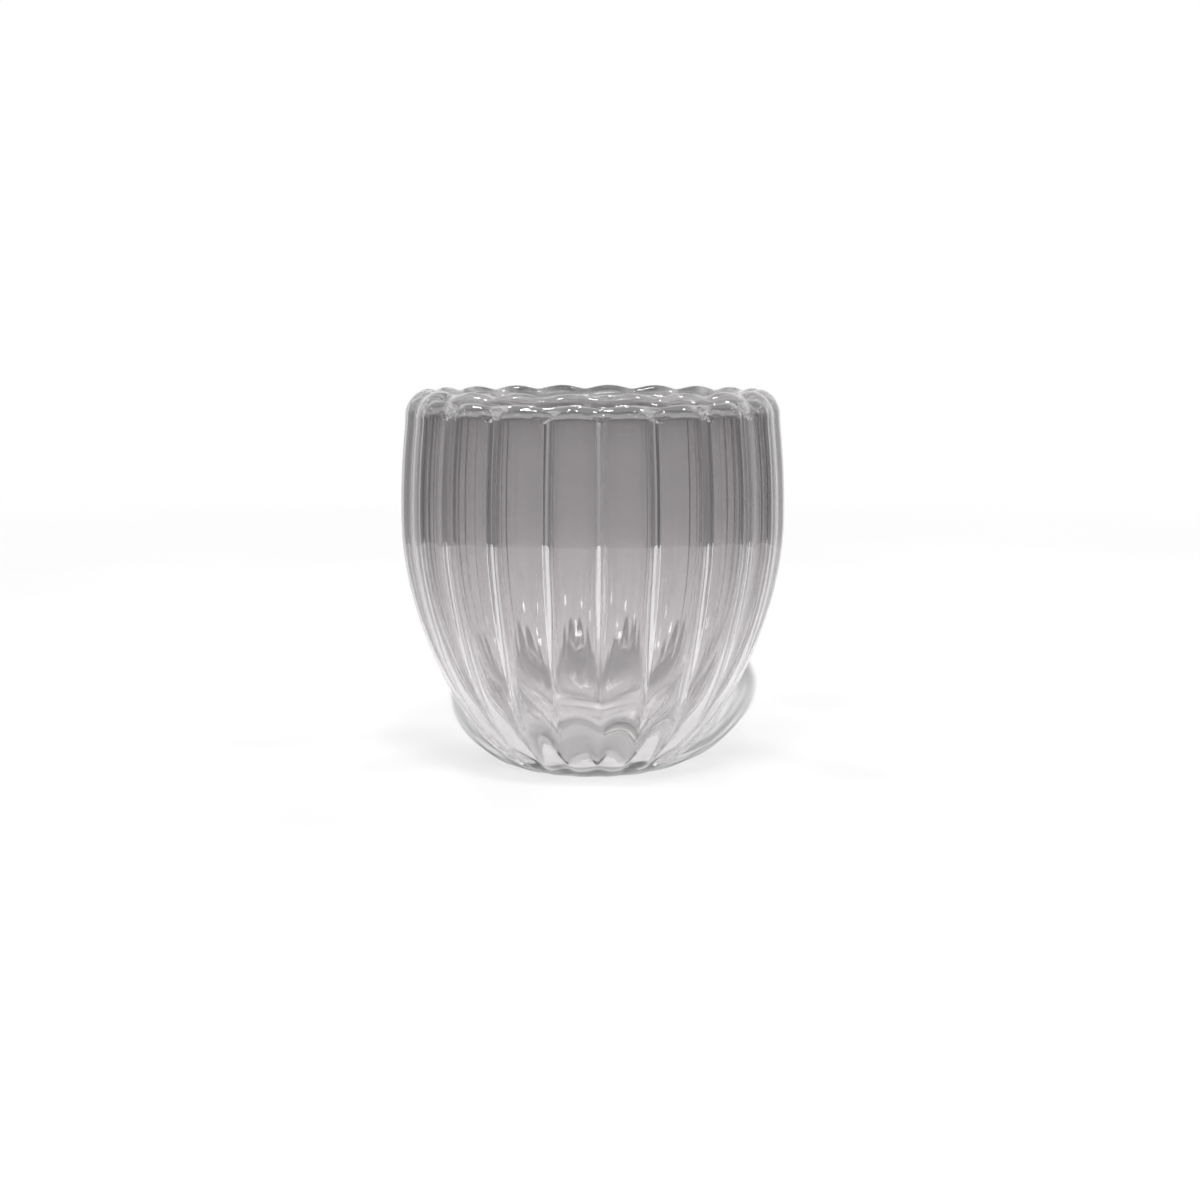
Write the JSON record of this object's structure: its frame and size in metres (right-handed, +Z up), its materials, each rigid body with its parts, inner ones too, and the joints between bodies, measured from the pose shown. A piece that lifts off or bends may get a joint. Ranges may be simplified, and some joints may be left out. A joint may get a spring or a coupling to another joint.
{
  "type": "drinking glass",
  "caption": "Double-walled drinking glass: a ribbed outer shell on a flat foot, a smooth inner cup fused to it along a rolled, scalloped rim, and a sealed vent in the foot.",
  "frame": {"origin": "middle of the flat foot, on the surface the glass stands on", "axes": "+Z up along the glass's axis, -Y towards the pictured front, +X to its right"},
  "size_m": [0.0856, 0.0856, 0.0845],
  "materials": {
    "shell_glass": "gloss",
    "cup_glass": "gloss",
    "seal_silicone": "satin"
  },
  "bodies": {
    "root": {"outer_shell": "shell_glass", "inner_cup": "cup_glass", "vent_seal": "seal_silicone"}
  },
  "joints": []
}
